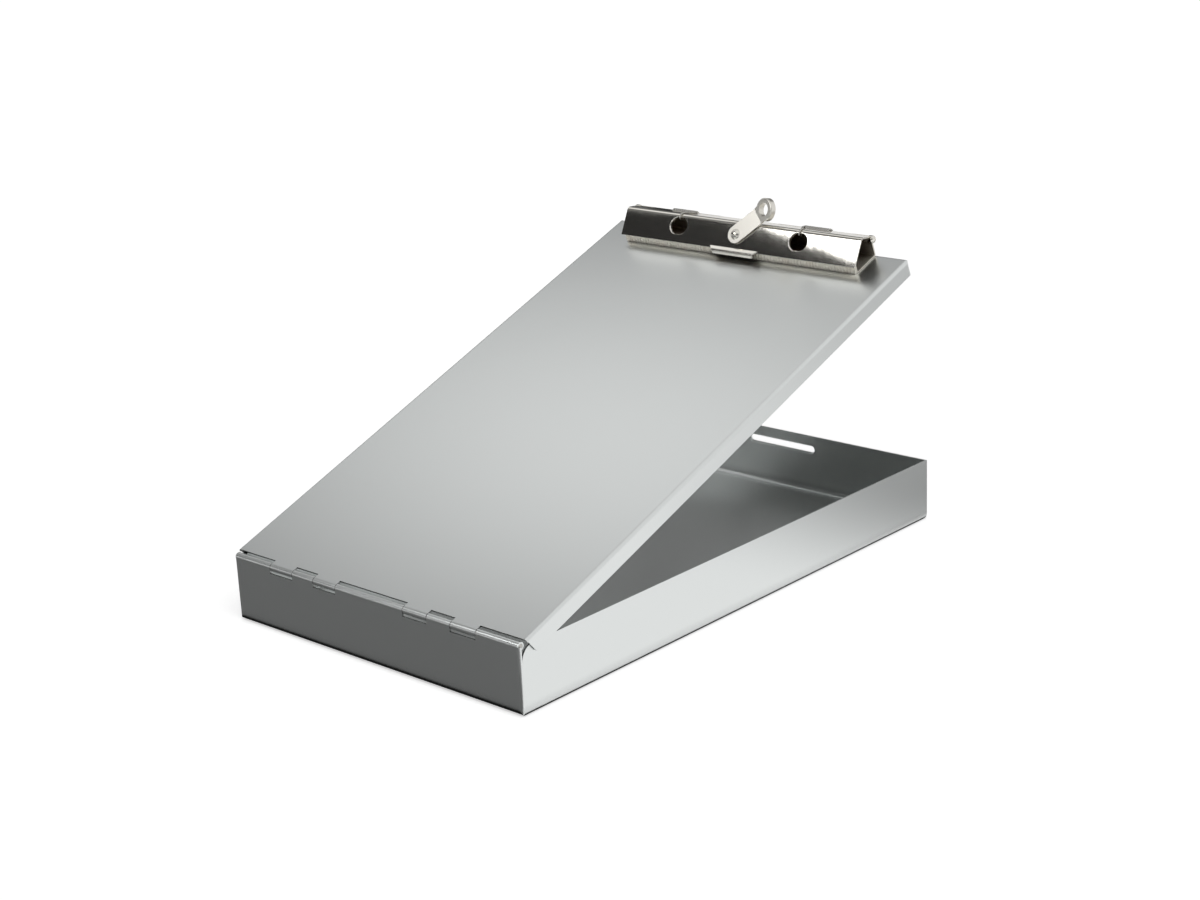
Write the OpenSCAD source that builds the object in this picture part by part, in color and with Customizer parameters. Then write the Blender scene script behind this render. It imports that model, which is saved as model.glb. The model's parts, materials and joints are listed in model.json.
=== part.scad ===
// Storage clipboard box in folded aluminium sheet, with a hinged writing lid and a wide sprung clip
// Millimetres, +Z up. The origin is the middle of the tray's underside, and the hinge wall faces -Y.

/* [Tray] */
// Outer width across the side walls
tray_w = 235; // [215:1:260]
// Outer length from the hinge wall to the far wall
tray_l = 381; // [340:1:430]
// Height of the walls
tray_h = 40; // [30:1:60]
// Thickness of the aluminium sheet
sheet = 1; // [0.8:0.1:1.2]
// Outside radius of the bends at the foot of the end walls
end_bend_r = 4; // [2:0.5:5]
// Outside radius of the bends at the foot of the side walls
side_bend_r = 2; // [1.5:0.5:4]
// Radius that rounds off each side wall beside the hinge
hinge_corner_r = 9; // [5:0.5:14]
// Width of the upright strip of side wall left at the hinge corner
corner_strip = 2.2; // [1.6:0.1:3]

/* [Slot in the far wall] */
// Length of the slot
slot_l = 54; // [40:1:70]
// Clear height of the slot
slot_h = 4.4; // [4.3:0.1:6]
// Distance from the top of the wall to the middle of the slot
slot_drop = 9.7; // [9:0.1:12]
// How far the slot's drawn rim stands out of the wall
slot_rim = 1.2; // [0.6:0.1:1.4]
// Width of the rim's rounded mouth inside the wall
slot_flare = 0.9; // [0.4:0.1:1.2]

/* [Lid hinge] */
// Diameter of the hinge pin
hinge_pin_d = 2.9; // [2.4:0.1:3.6]
// Radial clearance of the pin in the rolled knuckles
pin_clear = 0.05; // [0.02:0.01:0.08]
// Gap between a rolled knuckle and the sheet notched round it
notch_gap = 0.9; // [0.3:0.05:1]
// End gap between neighbouring knuckles
knuckle_gap = 0.3; // [0.2:0.1:0.8]
// Distance from the middle to the first joint between knuckles
knuckle_1 = 28; // [22:1:34]
// Distance from the middle to the second joint
knuckle_2 = 47; // [42:1:52]
// Distance from the middle to the third joint
knuckle_3 = 65.5; // [60:0.5:70]
// Distance from the middle to the fourth joint
knuckle_4 = 85; // [78:1:92]
// Angle at which the lid stands open
lid_open = 20.75; // [5:0.25:60]

/* [Lid] */
// Gap between each side flange of the lid and the side wall
lid_side_gap = 0.5; // [0.3:0.1:1]
// Gap between the far flange of the lid and the far wall
lid_end_gap = 2.4; // [2.4:0.1:3.5]
// Depth of the lid's flanges from its top face
lid_flange = 10.5; // [8:0.5:12]
// Outside radius of the lid's bends
lid_bend_r = 2; // [1.5:0.5:3]
// Outside radius of the lid's far corners, seen from above
lid_corner_r = 3; // [2:0.5:6]
// Distance from the hinge axis to the near end of the side flanges
flange_start = 4; // [3.7:0.1:6]
// Slope of the near end of the side flanges
flange_slope = 20; // [0:5:45]
// Width of the catch tongue on the far flange
tongue_w = 58; // [44:1:70]
// Height of the catch tongue below the middle of its bead
tongue_tail = 1.8; // [1.5:0.1:3]
// Length of the bead pressed into the catch tongue
bead_l = 46; // [30:1:50]
// Radius of the bead
bead_r = 1.6; // [1.2:0.1:2]
// How far the bead stands proud of the inside of the flange
bead_proud = 0.9; // [0.5:0.1:0.9]

/* [Clip] */
// Length of the clip's jaw along the lid's far edge
jaw_l = 192.6; // [150:0.2:210]
// Amount by which the base is shorter than the jaw at each end
base_inset = 1.6; // [1:0.1:3]
// Distance from the lid's far edge to the back of the clip
clip_setback = 0.9; // [0.5:0.1:3]
// Thickness of the jaw's steel
jaw_t = 0.9; // [0.7:0.1:1]
// Thickness of the base's steel
base_t = 1; // [0.8:0.1:1.2]
// Height of the clip's hinge rod above the lid
rod_h = 13.3; // [12.5:0.1:16]
// Diameter of the clip's hinge rod
rod_d = 2.4; // [2:0.1:2.8]
// Diameter of the rod's domed heads
rod_head_d = 5.2; // [4.4:0.1:5.6]
// How far the rod's heads stand out of the ends of the base
rod_head_l = 4.2; // [1.6:0.1:5]
// Length of the jaw's roof from its knuckles to its top corner
roof_l = 10.8; // [10:0.1:14]
// Downward slope of the roof towards the rod
roof_slope = 24.9; // [20:0.1:30]
// Length of the jaw's front plate from its top corner to its lower edge
plate_l = 19.1; // [18:0.1:20]
// Slope of the front plate
plate_slope = 45; // [42:0.5:47]
// Outside radius of the jaw's top bend
jaw_bend_r = 3; // [2:0.1:3.5]
// Clearance between the closed jaw and the gripping ridge
jaw_rest_gap = 0.1; // [0.05:0.05:0.3]
// Gap between the clip's knuckles and the sheet cut round them
clip_gap = 0.4; // [0.3:0.05:0.6]
// Distance from the jaw's lower edge back to the face of the gripping ridge
ridge_inset = 1.9; // [1.5:0.1:3]
// Thickness of the folded gripping ridge
ridge_t = 2; // [1.8:0.1:2.4]
// Spacing of the teeth along the ridge
tooth_pitch = 2.4; // [1.8:0.1:4]
// Depth of the teeth
tooth_depth = 0.5; // [0.3:0.1:0.7]
// Half length of the jaw's middle knuckle
clip_knuckle_1 = 24; // [18:1:30]
// Distance from the middle to the inner end of each spring bay
bay_in = 44.4; // [40:0.1:46]
// Distance from the middle to the outer end of each spring bay
bay_out = 65.2; // [62:0.1:68]
// Distance from the middle to the inner end of each outer base knuckle
clip_knuckle_2 = 82.5; // [75:0.5:86]

/* [Jaw details] */
// Distance from the middle to the middle of each oval hole
hole_x = 49.2; // [40:0.1:60]
// Distance from the jaw's lower edge up to the middle of the oval holes
hole_s = 11.2; // [10.5:0.1:11.5]
// Height of the oval holes
hole_h = 11.2; // [8:0.1:11.4]
// Extra width of the oval holes over their height
hole_stretch = 2.6; // [0:0.1:6]
// Depth of the collar drawn round each oval hole
hole_collar = 1.5; // [0.8:0.1:2]
// Width of the finger tab where it leaves the jaw
tab_w = 39; // [30:1:50]
// Width of the finger tab at its front
tab_front_w = 32; // [26:1:38]
// Height of the finger tab's shelf over the jaw's lower edge
tab_rise = 1; // [0:0.1:1.2]
// Length of the finger tab's shelf
tab_shelf = 2.4; // [1.8:0.1:4]
// Downward slope of the finger tab's shelf towards its front
tab_slope = 12; // [0:1:20]
// Outside radius of the finger tab's turned-down edge
tab_r = 1.6; // [1.2:0.1:2]
// Depth of the finger tab's turned-down edge
tab_drop = 3; // [2.5:0.1:4]

/* [Hanging lever] */
// Distance from the jaw's lower edge up to the lever's rivet
lever_s = 10.5; // [9:0.1:11]
// Angle at which the lever lies, from along the jaw
lever_angle = 43; // [43:1:90]
// Width of the lever's strap
lever_w = 12; // [10:0.1:13]
// Length of the strap from its rivet to the crease
lever_l = 20; // [19:0.1:24]
// Thickness of the lever
lever_t = 1; // [0.8:0.1:1.2]
// Angle at which the lever's head is bent away from the jaw
head_tilt = 18; // [12:1:30]
// Distance from the crease to the middle of the head
head_reach = 6.8; // [6:0.1:8]
// Radius of the lever's head
head_r = 7.5; // [6.5:0.1:7.7]
// Depth of the head's turned-down edge and of the collar round its eye
head_depth = 4; // [2.5:0.1:4.2]
// Radius of the hanging eye
eye_r = 4.4; // [3.5:0.1:4.8]
// Diameter of the lever's rivet
lever_rivet_d = 3; // [2.4:0.1:3.6]
// Thickness of the washer under the lever
washer_t = 0.4; // [0.3:0.1:0.6]

/* [Springs] */
// Diameter of the spring wire
wire_d = 1.1; // [0.9:0.05:1.2]
// Mean radius of the spring's curls
coil_r = 2.85; // [2.75:0.05:3.1]
// Number of full curls in each spring
curls = 11; // [8:1:11]
// Inside radius of the hook where the spring's arm dips into the jaw's oval hole
hook_r = 0.4; // [0.3:0.05:0.5]
// Length of the hook below the face of the jaw
hook_l = 1.8; // [1:0.1:3]
// Length of the spring arm that bears on the back of the base
back_arm = 9.5; // [7:0.5:10]

/* [Rivets] */
// Diameter of the rivets that hold the clip to the lid
rivet_d = 3.2; // [2.4:0.1:4]
// Distance from the middle to the inner pair of rivets
rivet_in = 30; // [15:1:36]
// Distance from the middle to the outer pair of rivets
rivet_out = 75; // [70:1:82]

/* [Hidden] */
$fn = 48;

// Lid hinge, worked out from the pin and the sheet rolled round it
hinge_bore_r = hinge_pin_d / 2 + pin_clear;
barrel_r = hinge_bore_r + sheet;
hinge_y = -tray_l / 2 + barrel_r;
hinge_z = tray_h;
barrel_half = tray_w / 2 - sheet;
notch_r = barrel_r + notch_gap;
curl_span = 300;
joints = [knuckle_1, knuckle_2, knuckle_3, knuckle_4];
tray_knuckles = [[-barrel_half, -joints[3]], [-joints[2], -joints[1]], [-joints[0], joints[0]],
                 [joints[1], joints[2]], [joints[3], barrel_half]];
lid_knuckles = [[-joints[3], -joints[2]], [-joints[1], -joints[0]], [joints[0], joints[1]],
                [joints[2], joints[3]]];

// Lid, measured from the hinge axis along the lid
lid_w = tray_w + 2 * (lid_side_gap + sheet);
lid_reach = tray_l / 2 + lid_end_gap + sheet - hinge_y;
flange_foot = barrel_r - lid_flange;
slot_z = tray_h - slot_drop;
bead_z = slot_z - hinge_z;
tongue_corner_r = 2.5;

// Clip, measured from the foot of its back on the lid
clip_bore_r = rod_d / 2 + pin_clear;
clip_barrel_r = clip_bore_r + jaw_t;
rod_y = -clip_barrel_r;
jaw_half = jaw_l / 2;
base_half = jaw_half - base_inset;
roof_foot = [rod_y, rod_h] + clip_barrel_r * [sin(roof_slope), cos(roof_slope)];
jaw_corner = roof_foot + roof_l * [-cos(roof_slope), sin(roof_slope)];
jaw_foot = jaw_corner - plate_l * [cos(plate_slope), sin(plate_slope)];
bend_turn = plate_slope + roof_slope;
bend_trim = jaw_bend_r * tan(bend_turn / 2);
bend_centre = jaw_foot + (plate_l - bend_trim) * [cos(plate_slope), sin(plate_slope)]
    + jaw_bend_r * [sin(plate_slope), -cos(plate_slope)];
ridge_y = jaw_foot[0] + ridge_inset;
ridge_mid = ridge_y + ridge_t / 2;
ridge_eye_z = jaw_foot[1] + (ridge_mid - jaw_foot[0]) * tan(plate_slope)
    - (jaw_t + jaw_rest_gap + ridge_t / 2) / cos(plate_slope);
base_bend_r = 1.6;
spring_r = coil_r + wire_d / 2;
bay_r = spring_r + clip_gap;
back_top = rod_h - bay_r;
base_knuckles = [[clip_knuckle_1, bay_in], [clip_knuckle_2, base_half]];
jaw_knuckles = [[-clip_knuckle_1, clip_knuckle_1], [bay_out, clip_knuckle_2],
                [-clip_knuckle_2, -bay_out]];

// Rivets
head_over = 1.4;
rivet_hole_clear = 0.05;
rivet_y = (ridge_y + ridge_t - base_t) / 2;
lever_gap = 0.05;

// Springs: rings per curl, sides of the wire and rings along a straight arm
curl_rings = 8;
wire_sides = 6;
bay_clear = 0.15;

aluminium = [0.78, 0.79, 0.79];
nickel = [0.72, 0.71, 0.68];
zinc = [0.66, 0.60, 0.47];
steel = [0.60, 0.60, 0.60];

// Extrudes a profile drawn in (y, z) from x0 to x1
module along_x(x0, x1) {
    translate([x0, 0, 0]) rotate([90, 0, 90]) linear_extrude(x1 - x0) children();
}

// Extrudes a profile drawn in (x, z) from y0 to y1
module along_y(y0, y1) {
    translate([0, y1, 0]) rotate([90, 0, 0]) linear_extrude(y1 - y0) children();
}

// Part of a ring between two angles
module ring_sector(r, t, from, to) {
    steps = ceil((to - from) / 45);
    difference() {
        intersection() {
            circle(r);
            polygon([[0, 0], for (k = [0:steps])
                let (a = from + (to - from) * k / steps) 2 * r * [cos(a), sin(a)]]);
        }
        circle(r - t);
    }
}

// Rectangle with its own radius at each corner: low left, low right, high right, high left
module rounded_rect(x0, y0, x1, y1, radii) {
    corners = [[x0, y0, 1, 1], [x1, y0, -1, 1], [x1, y1, -1, -1], [x0, y1, 1, -1]];
    difference() {
        translate([x0, y0]) square([x1 - x0, y1 - y0]);
        for (k = [0:3]) if (radii[k] > 0)
            translate([corners[k][0], corners[k][1]]) scale_corner(corners[k][2], corners[k][3])
                corner_cut(radii[k]);
    }
}

// Turns a corner's cut so that it points into the rectangle
module scale_corner(sx, sy) {
    mirror([sx < 0 ? 1 : 0, 0]) mirror([0, sy < 0 ? 1 : 0]) children();
}

// What a radius takes off a square corner
module corner_cut(r) {
    difference() {
        translate([-1, -1]) square(r + 1);
        translate([r, r]) circle(r);
    }
}

// Strip of sheet whose outer face starts at a point and runs at an angle
module strip(start, angle, length, t) {
    translate(start) rotate(angle) translate([0, -t]) square([length, t]);
}

// Obround lying along x
module obround(length, height) {
    square([length - height, height], center = true);
    for (side = [-1, 1]) translate([side * (length - height) / 2, 0]) circle(height / 2);
}

// Obround whose height grows from h0 at z = 0 to h1 at z = depth
module obround_flare(length, h0, h1, depth) {
    mid = length - h0;
    for (side = [-1, 1])
        translate([side * mid / 2, 0, 0]) cylinder(d1 = h0, d2 = h1, h = depth);
    translate([-mid / 2, 0, 0]) rotate([90, 0, 90]) linear_extrude(mid)
        polygon([[-h0 / 2, 0], [h0 / 2, 0], [h1 / 2, depth], [-h1 / 2, depth]]);
}

// Low dome of radius r and height h
module dome(r, h) {
    ball_r = (r * r + h * h) / (2 * h);
    intersection() {
        translate([0, 0, h - ball_r]) sphere(ball_r, $fn = 64);
        cylinder(r = r, h = h + 1);
    }
}

// Runs children over both sides, mirrored about the middle
module both_sides() {
    children();
    mirror([1, 0, 0]) children();
}

// Places children in the lid's frame: y along the lid from the hinge axis, z square to it
module lid_frame() {
    translate([0, hinge_y, hinge_z]) rotate([lid_open, 0, 0]) children();
}

// Places children in the clip's frame: origin on the lid's top face under the clip's back
module clip_frame() {
    lid_frame() translate([0, lid_reach - clip_setback, barrel_r]) children();
}

// Places children on the jaw's front plate: y up the plate, z out of it
module plate_frame() {
    clip_frame() translate([0, jaw_foot[0], jaw_foot[1]]) rotate([plate_slope, 0, 0]) children();
}

// Places children at the lever's rivet, x along the lever
module lever_frame() {
    plate_frame() translate([0, lever_s, washer_t]) rotate([0, 0, lever_angle]) children();
}

// The pan's form, grown by 0 for its outside and by -sheet for its inside
module pan_form(inset) {
    top = tray_h + (inset > 0 ? 1 : 0);
    foot_r = end_bend_r - inset;
    side_r = side_bend_r - inset;
    intersection() {
        along_x(-tray_w / 2 + inset, tray_w / 2 - inset)
            rounded_rect(-tray_l / 2 + inset, inset, tray_l / 2 - inset, top, [foot_r, foot_r, 0, 0]);
        along_y(-tray_l / 2, tray_l / 2)
            rounded_rect(-tray_w / 2 + inset, inset, tray_w / 2 - inset, top, [side_r, side_r, 0, 0]);
        translate([0, 0, -1]) linear_extrude(tray_h + 3)
            rounded_rect(-tray_w / 2 + inset, -tray_l / 2 + inset, tray_w / 2 - inset,
                tray_l / 2 - inset, [side_r, side_r, 0, 0]);
    }
}

// Rolled knuckle of the tray's hinge wall
module tray_knuckle(span) {
    along_x(span[0], span[1])
        translate([hinge_y, hinge_z]) ring_sector(barrel_r, sheet, 180 - curl_span, 180);
}

// Shrinks a knuckle by half the end gap, except where it ends at the wall
function trimmed(span, limit) = [
    abs(span[0]) >= limit ? span[0] : span[0] + knuckle_gap / 2,
    abs(span[1]) >= limit ? span[1] : span[1] - knuckle_gap / 2];

module tray() {
    color(aluminium) difference() {
        union() {
            difference() {
                pan_form(0);
                pan_form(sheet);
            }
            for (span = tray_knuckles) tray_knuckle(trimmed(span, barrel_half));
            translate([0, tray_l / 2, slot_z]) rotate([-90, 0, 0])
                linear_extrude(slot_rim) obround(slot_l + 2 * slot_flare, slot_h + 2 * slot_flare);
        }
        for (span = lid_knuckles)
            along_x(span[0] - knuckle_gap / 2, span[1] + knuckle_gap / 2)
                translate([-tray_l / 2 - 1, hinge_z - notch_r]) square([notch_r + 1, notch_r + 1]);
        both_sides() along_x(barrel_half, tray_w / 2 + 1)
            translate([-tray_l / 2 + corner_strip, tray_h - hinge_corner_r])
                difference() {
                    square([hinge_corner_r, hinge_corner_r + 1]);
                    translate([hinge_corner_r, 0]) circle(hinge_corner_r);
                }
        translate([0, tray_l / 2 - sheet - 1, slot_z]) rotate([-90, 0, 0])
            linear_extrude(sheet + slot_rim + 2) obround(slot_l, slot_h);
        translate([0, tray_l / 2, slot_z]) rotate([90, 0, 0])
            obround_flare(slot_l, slot_h, slot_h + 2 * slot_flare, sheet);
    }
}

// The lid's form, grown by 0 for its outside and by -sheet for its inside
module cover_form(inset) {
    low = flange_foot - (inset > 0 ? 1 : 0);
    near = inset > 0 ? -1 : 0;
    bend = lid_bend_r - inset;
    turn = lid_corner_r - inset;
    intersection() {
        along_x(-lid_w / 2 + inset, lid_w / 2 - inset)
            rounded_rect(near, low, lid_reach - inset, barrel_r - inset, [0, 0, bend, 0]);
        along_y(near, lid_reach)
            rounded_rect(-lid_w / 2 + inset, low, lid_w / 2 - inset, barrel_r - inset,
                [0, 0, bend, bend]);
        translate([0, 0, low]) linear_extrude(lid_flange + 2)
            rounded_rect(-lid_w / 2 + inset, near, lid_w / 2 - inset, lid_reach - inset,
                [0, 0, turn, turn]);
    }
}

// Tongue under the far flange that reaches the tray's slot, with a bead pressed into it
module catch_tongue() {
    groove_r = bead_r - 0.8 * sheet;
    inner_face = lid_reach - sheet;
    foot = bead_z - tongue_tail;
    difference() {
        union() {
            along_y(inner_face, lid_reach)
                rounded_rect(-tongue_w / 2, foot, tongue_w / 2, flange_foot + 1,
                    [tongue_corner_r, tongue_corner_r, 0, 0]);
            intersection() {
                translate([0, inner_face + bead_r - bead_proud, bead_z]) bead(bead_r);
                along_y(inner_face - bead_r, lid_reach) square([2 * tongue_w, 60], center = true);
            }
        }
        translate([0, inner_face + bead_r - bead_proud, bead_z]) bead(groove_r);
    }
}

// Round-ended bar along x
module bead(r) {
    straight = bead_l - 2 * bead_r;
    rotate([0, 90, 0]) cylinder(r = r, h = straight, center = true);
    for (side = [-1, 1]) translate([side * straight / 2, 0, 0]) sphere(r);
}

module lid() {
    color(aluminium) lid_frame() difference() {
        union() {
            difference() {
                cover_form(0);
                cover_form(sheet);
            }
            for (span = lid_knuckles)
                along_x(span[0] + knuckle_gap / 2, span[1] - knuckle_gap / 2)
                    ring_sector(barrel_r, sheet, 90, 90 + curl_span);
            catch_tongue();
        }
        for (span = tray_knuckles)
            along_x(abs(span[0]) >= barrel_half ? -lid_w : span[0] - knuckle_gap / 2,
                    abs(span[1]) >= barrel_half ? lid_w : span[1] + knuckle_gap / 2)
                translate([-notch_r, -notch_r]) square([2 * notch_r, 3 * notch_r]);
        both_sides() along_x(lid_w / 2 - lid_bend_r, lid_w / 2 + 1)
            polygon([[-1, barrel_r - lid_bend_r], [flange_start, barrel_r - lid_bend_r],
                     [flange_start + lid_flange * tan(flange_slope),
                      barrel_r - lid_bend_r - lid_flange], [-1, flange_foot - lid_flange]]);
        for (x = [-rivet_out, -rivet_in, rivet_in, rivet_out])
            translate([x, lid_reach - clip_setback + rivet_y, 0])
                cylinder(d = rivet_d + 2 * rivet_hole_clear, h = 3 * barrel_r);
    }
}

module hinge_pin() {
    color(steel) translate([-barrel_half, hinge_y, hinge_z])
        rotate([0, 90, 0]) cylinder(d = hinge_pin_d, h = 2 * barrel_half);
}

// Gripping ridge: a folded hem with a rounded top and teeth pressed into its front
module ridge() {
    teeth = floor(2 * base_half / tooth_pitch);
    comb_half = teeth * tooth_pitch / 2;
    intersection() {
        along_x(-base_half, base_half) union() {
            translate([ridge_y, 0]) square([ridge_t, ridge_eye_z]);
            translate([ridge_mid, ridge_eye_z]) circle(ridge_t / 2);
        }
        linear_extrude(2 * ridge_eye_z) polygon([
            [-base_half, ridge_y + ridge_t + 1], [-base_half, ridge_y],
            for (k = [0:teeth - 1]) each [
                [-comb_half + k * tooth_pitch, ridge_y],
                [-comb_half + (k + 0.5) * tooth_pitch, ridge_y + tooth_depth]],
            [comb_half, ridge_y], [base_half, ridge_y], [base_half, ridge_y + ridge_t + 1]]);
    }
}

module clip_base() {
    color(zinc) clip_frame() difference() {
        union() {
            along_x(-base_half, base_half) difference() {
                rounded_rect(ridge_mid, 0, 0, back_top, [0, base_bend_r, 0, 0]);
                rounded_rect(ridge_mid - 1, base_t, -base_t, back_top + 1,
                    [0, base_bend_r - base_t, 0, 0]);
            }
            ridge();
            both_sides() for (span = base_knuckles) {
                inner = span[0] + knuckle_gap / 2;
                outer = span[1] == base_half ? base_half : span[1] - knuckle_gap / 2;
                along_x(inner, outer) union() {
                    translate([-jaw_t, back_top - 1]) square([jaw_t, rod_h - back_top + 1]);
                    translate([rod_y, rod_h]) ring_sector(clip_barrel_r, jaw_t, 0, curl_span);
                }
            }
        }
        for (x = [-rivet_out, -rivet_in, rivet_in, rivet_out])
            translate([x, rivet_y, -1])
                cylinder(d = rivet_d + 2 * rivet_hole_clear, h = base_t + 2);
    }
}

// Section of the jaw: front plate, top bend and roof
module jaw_section() {
    strip(jaw_foot, plate_slope, plate_l - bend_trim, jaw_t);
    translate(bend_centre)
        ring_sector(jaw_bend_r, jaw_t, 90 - roof_slope, 90 + plate_slope);
    strip(jaw_corner + bend_trim * [cos(roof_slope), -sin(roof_slope)], -roof_slope,
        roof_l - bend_trim, jaw_t);
}

// Places children where the finger tab leaves the jaw: y along its shelf, z square to it
module tab_frame() {
    translate([0, jaw_foot[0] + tab_rise / tan(plate_slope), jaw_foot[1] + tab_rise])
        rotate([tab_slope, 0, 0]) children();
}

// Finger tab: a short shelf bent out of the jaw near its lower edge, with a turned-down front
module finger_tab() {
    front = -tab_shelf - tab_r;
    tab_frame() intersection() {
        along_x(-tab_w / 2, tab_w / 2) union() {
            translate([-tab_shelf, -jaw_t]) square([tab_shelf + jaw_t / 4, jaw_t]);
            translate([-tab_shelf, -tab_r]) ring_sector(tab_r, jaw_t, 90, 180);
            translate([front, -tab_drop]) square([jaw_t, tab_drop - tab_r]);
        }
        translate([0, 0, -tab_drop - 1]) linear_extrude(tab_drop + 2) polygon([
            [-tab_w / 2, 1], [-tab_w / 2, 0], [-tab_front_w / 2, front],
            [tab_front_w / 2, front], [tab_w / 2, 0], [tab_w / 2, 1]]);
    }
}

// What the finger tab takes off the jaw's lower edge
module tab_opening() {
    tab_frame() along_x(-tab_w / 2, tab_w / 2)
        translate([-2 * jaw_t, -4 * jaw_t]) square([4 * jaw_t, 3 * jaw_t]);
}

module clip_jaw() {
    collar_t = 0.8;
    hole_l = hole_h + hole_stretch;
    color(nickel) difference() {
        union() {
            clip_frame() {
                difference() {
                    along_x(-jaw_half, jaw_half) jaw_section();
                    tab_opening();
                }
                for (span = jaw_knuckles)
                    along_x(span[0] + knuckle_gap / 2, span[1] - knuckle_gap / 2)
                        translate([rod_y, rod_h]) ring_sector(clip_barrel_r, jaw_t,
                            90 - roof_slope - curl_span, 90 - roof_slope);
                finger_tab();
            }
            for (side = [-1, 1]) plate_frame() translate([side * hole_x, hole_s, 0])
                translate([0, 0, -jaw_t - hole_collar]) linear_extrude(hole_collar + jaw_t)
                    obround(hole_l + 2 * collar_t, hole_h + 2 * collar_t);
        }
        clip_frame() both_sides() {
            for (span = [[clip_knuckle_1, bay_in], [clip_knuckle_2, jaw_half + 1]])
                along_x(span[0] - knuckle_gap / 2, span[1] + knuckle_gap / 2)
                    translate([rod_y, rod_h]) circle(clip_barrel_r + clip_gap);
            along_x(bay_in, bay_out) translate([rod_y, rod_h]) circle(bay_r);
            along_x(base_half - clip_gap, jaw_half + 1)
                translate([rod_y, rod_h]) circle(rod_head_d / 2 + clip_gap);
        }
        for (side = [-1, 1]) plate_frame() translate([side * hole_x, hole_s, 0]) {
            translate([0, 0, -jaw_t - hole_collar - 1]) linear_extrude(hole_collar + jaw_t + 2)
                obround(hole_l, hole_h);
            translate([0, 0, -jaw_t / 2])
                obround_flare(hole_l, hole_h, hole_h + jaw_t, jaw_t / 2 + 0.01);
        }
        plate_frame() translate([0, lever_s, -jaw_t - 1])
            cylinder(d = lever_rivet_d + 2 * rivet_hole_clear, h = jaw_t + 2);
    }
}

module clip_rod() {
    dome_h = 1.4;
    collar = rod_head_l - dome_h;
    color(nickel) clip_frame() translate([0, rod_y, rod_h]) {
        rotate([0, 90, 0]) cylinder(d = rod_d, h = 2 * base_half, center = true);
        for (side = [0, 1]) mirror([side, 0, 0]) translate([base_half, 0, 0]) rotate([0, 90, 0]) {
            cylinder(d = rod_head_d, h = collar);
            translate([0, 0, collar]) dome(rod_head_d / 2, dome_h);
        }
    }
}

// Path of one spring: a hook in the jaw's oval hole, an arm over the roof, the curls and the back arm
roof_angle = 90 - roof_slope;
coil_turn = roof_angle + 360 * curls;
coil_x0 = bay_in + bay_clear + wire_d / 2;
coil_x1 = bay_out - bay_clear - wire_d / 2;
coil_steps = ceil(coil_turn * curl_rings / 360);
coil_pitch = (coil_x1 - coil_x0) / (coil_turn / 360);
function coil_point(k) = let (f = k / coil_steps, a = roof_angle - coil_turn * f)
    [coil_x0 + (coil_x1 - coil_x0) * f, rod_y + coil_r * cos(a), rod_h + coil_r * sin(a)];
// Height of the arm's middle over the jaw, and its run along the roof from the curls to the top bend
arm_rise = coil_r - clip_barrel_r;
arm_run = roof_l - bend_trim;
arm_straight = 0.4 * arm_run;
function over_roof(f) = let (t = arm_straight + (arm_run - arm_straight) * f)
    coil_point(0) + t * [0, -cos(roof_slope), sin(roof_slope)]
        + [(hole_x - coil_x0) * f, 0, 0];
function over_bend(a) = [hole_x,
    bend_centre[0] + (jaw_bend_r + arm_rise) * cos(a),
    bend_centre[1] + (jaw_bend_r + arm_rise) * sin(a)];
// Point over the jaw's front plate: s up the plate from its lower edge, h out of it
function over_plate(s, h) = [hole_x,
    jaw_foot[0] + s * cos(plate_slope) - h * sin(plate_slope),
    jaw_foot[1] + s * sin(plate_slope) + h * cos(plate_slope)];
hook_mid_r = hook_r + wire_d / 2;
hook_s = hole_s + hole_h / 2 - wire_d / 2 - 0.2;
hook_end = over_plate(hook_s, arm_rise - hook_mid_r - hook_l);
hook = [for (a = [180:-30:120])
    over_plate(hook_s + hook_mid_r * (1 + cos(a)), arm_rise - hook_mid_r + hook_mid_r * sin(a))];
spring_path = concat(
    [hook_end], hook,
    [for (k = [0:3]) over_bend(90 + plate_slope - bend_turn * k / 3)],
    [over_roof(0.5), over_roof(0), coil_point(0) + arm_straight / 2
        * [0, -cos(roof_slope), sin(roof_slope)]],
    [for (k = [0:coil_steps]) coil_point(k)],
    [for (f = [0.5, 1]) coil_point(coil_steps) - back_arm * f * [0, 0, 1]]);

// Least gap of the wire to itself, measured on the path's points that aren't close neighbours
path_n = len(spring_path);
least_gap = min([for (k = [0:path_n - 7], j = [k + 6:path_n - 1])
    norm(spring_path[k] - spring_path[j])]) - wire_d;
echo(least_spring_gap = least_gap, curl_pitch = coil_pitch);

// Direction of the wire at point k of its path
function heading(p, k) = let (d = p[min(k + 1, len(p) - 1)] - p[max(k - 1, 0)]) d / norm(d);

// Ring of points round the wire at point k, turned so that it keeps facing the rod's direction
function wire_ring(p, k) = let (
        t = heading(p, k),
        u0 = [1, 0, 0] - t[0] * t,
        u = u0 / norm(u0),
        v = cross(t, u))
    [for (s = [0:wire_sides - 1]) let (a = 360 * s / wire_sides)
        p[k] + wire_d / 2 * (cos(a) * u + sin(a) * v)];

// Unbroken tube along a path
module wire(p) {
    rings = len(p);
    points = [for (k = [0:rings - 1]) each wire_ring(p, k)];
    sides = [for (k = [0:rings - 2], s = [0:wire_sides - 1])
        let (a = k * wire_sides + s, b = k * wire_sides + (s + 1) % wire_sides,
             c = b + wire_sides, d = a + wire_sides)
        each [[a, c, b], [a, d, c]]];
    last = (rings - 1) * wire_sides;
    caps = [for (s = [1:wire_sides - 2]) each [[0, s, s + 1], [last, last + s + 1, last + s]]];
    polyhedron(points, concat(sides, caps), convexity = 10);
}

module spring_right() {
    color(steel) clip_frame() wire(spring_path);
}

module spring_left() {
    color(steel) clip_frame() mirror([1, 0, 0]) wire(spring_path);
}

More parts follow.
